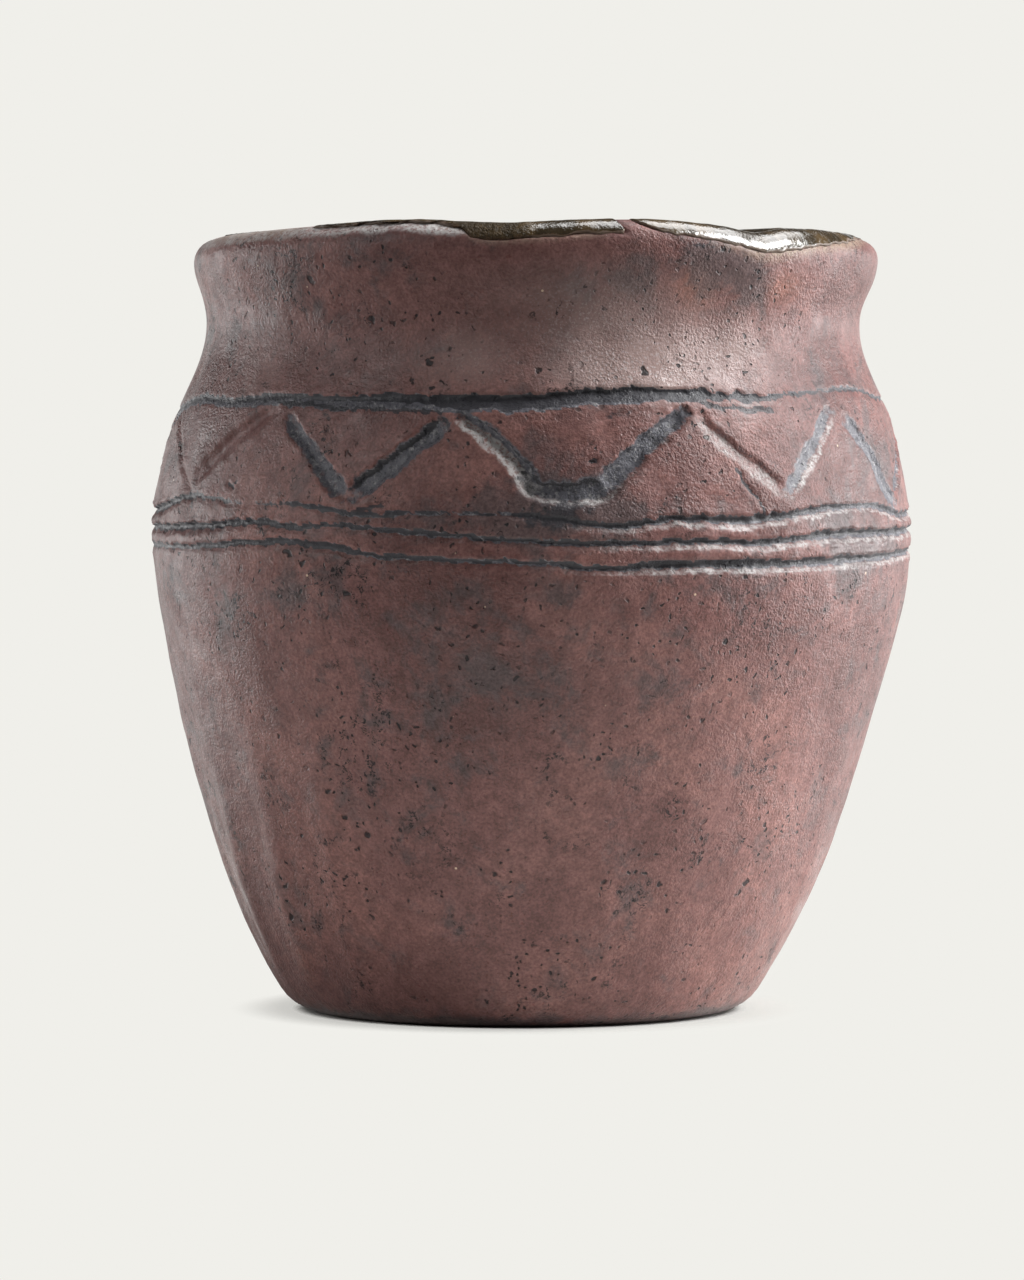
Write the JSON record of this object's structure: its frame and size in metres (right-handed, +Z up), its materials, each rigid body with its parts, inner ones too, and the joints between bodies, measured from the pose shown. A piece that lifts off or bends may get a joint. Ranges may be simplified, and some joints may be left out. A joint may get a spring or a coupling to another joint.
{
  "type": "handleless clay mug",
  "caption": "Hand-built red clay mug without a handle: round belly, drawn-in neck, flared lip, scratched zigzag band, glossy olive glaze inside and over the lip.",
  "frame": {"origin": "middle of the flat that the mug stands on, at the table", "axes": "+Z up out of the mouth, -Y towards the side that the picture shows, +X to the right of that side"},
  "size_m": [0.0896, 0.09, 0.0926],
  "materials": {
    "red_clay": "unglazed burnished red clay, mottled with a dark wash that stays in scratches and pits",
    "lining_glaze": "glossy olive-brown glaze, smooth and pooled on the floor",
    "lip_glaze": "glossy dark olive-brown glaze, uneven, thin to bare in places"
  },
  "bodies": {
    "root": {"clay_wall": "red_clay", "base_slab": "red_clay", "glaze_lining": "lining_glaze", "lip_glaze": "lip_glaze"}
  },
  "joints": []
}
